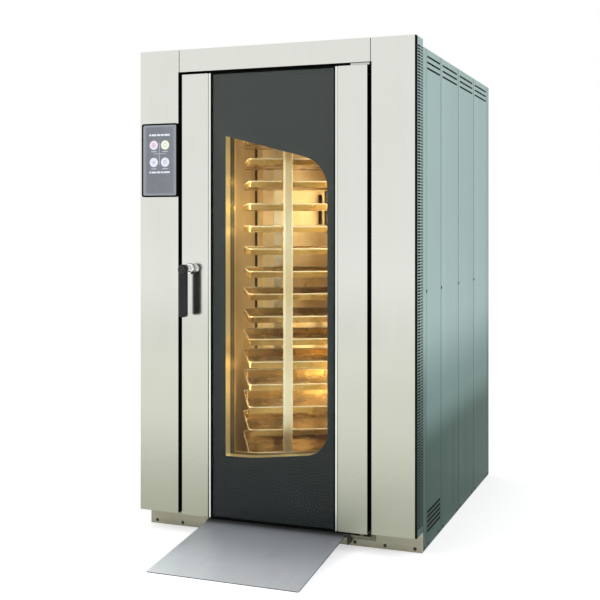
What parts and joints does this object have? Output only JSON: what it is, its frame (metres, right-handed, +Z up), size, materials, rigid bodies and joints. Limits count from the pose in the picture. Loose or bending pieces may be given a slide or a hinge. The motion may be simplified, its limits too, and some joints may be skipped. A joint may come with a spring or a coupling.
{
  "type": "rotating rack oven",
  "caption": "Free-standing bakery oven with a windowed swing door, loading ramp and a tray trolley that turns on a driven turntable.",
  "frame": {"origin": "on the floor, on the axis that the trolley and turntable turn about", "axes": "+X to the right seen from the door, +Y from the door to the back, +Z up"},
  "size_m": [1.284, 2.1201, 2.27],
  "materials": {
    "structural_steel": "satin",
    "plinth_steel": "brushed",
    "brushed_stainless": "brushed",
    "case_sheet": "satin",
    "roof_sheet": "satin",
    "screw_steel": "satin",
    "chamber_steel": "satin",
    "floor_steel": "satin",
    "mineral_wool": "matte",
    "heater_tube": "satin",
    "motor_paint": "satin",
    "fan_steel": "satin",
    "lamp_steel": "satin",
    "lamp_glass": "clear",
    "machined_steel": "satin",
    "flue_steel": "satin",
    "damper_steel": "satin",
    "panel_plastic": "gloss",
    "screen_glass": "gloss",
    "valve_brass": "satin",
    "gland_plastic": "matte",
    "tinted_glass": "gloss",
    "glass_print": "gloss",
    "bright_trim": "polished",
    "inner_pane": "gloss",
    "black_rubber": "matte",
    "handle_metal": "polished",
    "grip_plastic": "gloss",
    "rack_steel": "satin",
    "tray_metal": "satin",
    "ramp_steel": "brushed",
    "castor_zinc": "satin",
    "castor_tread": "satin"
  },
  "bodies": {
    "oven": {"base_frame": "structural_steel", "plinth": "plinth_steel", "front_frame": "structural_steel", "front_covers": "brushed_stainless", "vent_strips": "case_sheet", "corner_strips": "case_sheet", "side_panels_left": "case_sheet", "side_panels_right": "case_sheet", "rear_panels": "case_sheet", "roof_panel": "roof_sheet", "case_screws": "screw_steel", "door_jamb": "brushed_stainless", "chamber_walls": "chamber_steel", "chamber_ceiling": "chamber_steel", "chamber_floor": "floor_steel", "fan_baffle": "chamber_steel", "rear_walls": "floor_steel", "insulation": "mineral_wool", "heater_bank": "heater_tube", "fan_motor": "motor_paint", "lamp_housings": "lamp_steel", "lamp_glasses": "lamp_glass", "turntable_bearing": "machined_steel", "drive_bearing": "machined_steel", "gear_motor": "motor_paint", "exhaust_flue": "flue_steel", "control_housing": "panel_plastic", "control_screen": "screen_glass", "hinge_brackets": "machined_steel", "latch_keeper": "machined_steel", "water_inlet": "valve_brass", "cable_gland": "gland_plastic", "ramp_hinge": "structural_steel"},
    "door": {"door_shell": "brushed_stainless", "door_glass": "tinted_glass", "glass_mask": "glass_print", "glass_trims": "bright_trim", "window_reveal": "chamber_steel", "inner_glass": "inner_pane", "door_plug": "chamber_steel", "door_insulation": "mineral_wool", "door_gasket": "black_rubber"},
    "door_handle": {"handle_hub": "handle_metal", "handle_grip": "grip_plastic", "latch_cam": "machined_steel"},
    "rack": {"turntable": "floor_steel", "rack_frame": "rack_steel", "tray_runners": "rack_steel", "trays": "tray_metal", "drive_gear": "machined_steel"},
    "pinion": {"drive_pinion": "machined_steel"},
    "fan": {"fan_impeller": "fan_steel"},
    "ramp": {"ramp_plate": "ramp_steel"},
    "damper": {"damper_flap": "damper_steel"},
    "castor_1": {"castor_fork_1": "castor_zinc"},
    "castor_2": {"castor_fork_2": "castor_zinc"},
    "wheel_1": {"castor_wheel_1": "castor_tread"},
    "wheel_2": {"castor_wheel_2": "castor_tread"},
    "wheel_3": {"castor_wheel_3": "castor_tread"},
    "wheel_4": {"castor_wheel_4": "castor_tread"}
  },
  "joints": [
    {"name": "door_swing", "type": "hinge", "parent": "oven", "child": "door", "pos_m": [0.4, -0.57, 1.06], "axis": [0, 0, 1], "range_deg": [0, 110]},
    {"name": "handle_turn", "type": "hinge", "parent": "door", "child": "door_handle", "pos_m": [-0.39, -0.6, 1.176], "axis": [0, -1, 0], "range_deg": [0, 90]},
    {"name": "rack_turn", "type": "hinge", "parent": "oven", "child": "rack", "pos_m": [0, 0, 0.5], "axis": [0, 0, 1], "continuous": true},
    {"name": "pinion_turn", "type": "hinge", "parent": "oven", "child": "pinion", "pos_m": [0, 0.15, 2.2], "axis": [0, 0, 1], "continuous": true},
    {"name": "fan_spin", "type": "hinge", "parent": "oven", "child": "fan", "pos_m": [0, 0.7, 1.45], "axis": [0, 1, 0], "continuous": true},
    {"name": "ramp_lift", "type": "hinge", "parent": "oven", "child": "ramp", "pos_m": [0, -0.544, 0.0505], "axis": [-1, 0, 0], "range_deg": [0, 20]},
    {"name": "damper_turn", "type": "hinge", "parent": "oven", "child": "damper", "pos_m": [-0.28, 0.3, 2.19], "axis": [-1, 0, 0], "range_deg": [0, 90]},
    {"name": "castor_swivel_1", "type": "hinge", "parent": "rack", "child": "castor_1", "pos_m": [-0.12035, -0.34751, 0.18], "axis": [0, 0, 1], "continuous": true},
    {"name": "castor_swivel_2", "type": "hinge", "parent": "rack", "child": "castor_2", "pos_m": [-0.35188, 0.1069, 0.18], "axis": [0, 0, 1], "continuous": true},
    {"name": "wheel_roll_1", "type": "hinge", "parent": "castor_1", "child": "wheel_1", "pos_m": [-0.14708, -0.36113, 0.1203], "axis": [-0.454, 0.891, 0], "continuous": true},
    {"name": "wheel_roll_2", "type": "hinge", "parent": "castor_2", "child": "wheel_2", "pos_m": [-0.37861, 0.09328, 0.1203], "axis": [-0.454, 0.891, 0], "continuous": true},
    {"name": "wheel_roll_3", "type": "hinge", "parent": "rack", "child": "wheel_3", "pos_m": [0.32515, -0.12052, 0.1203], "axis": [-0.454, 0.891, 0], "continuous": true},
    {"name": "wheel_roll_4", "type": "hinge", "parent": "rack", "child": "wheel_4", "pos_m": [0.09362, 0.33389, 0.1203], "axis": [-0.454, 0.891, 0], "continuous": true}
  ],
  "couplings": [
    {"joint": "pinion_turn", "follows": "rack_turn", "ratio": -4}
  ]
}
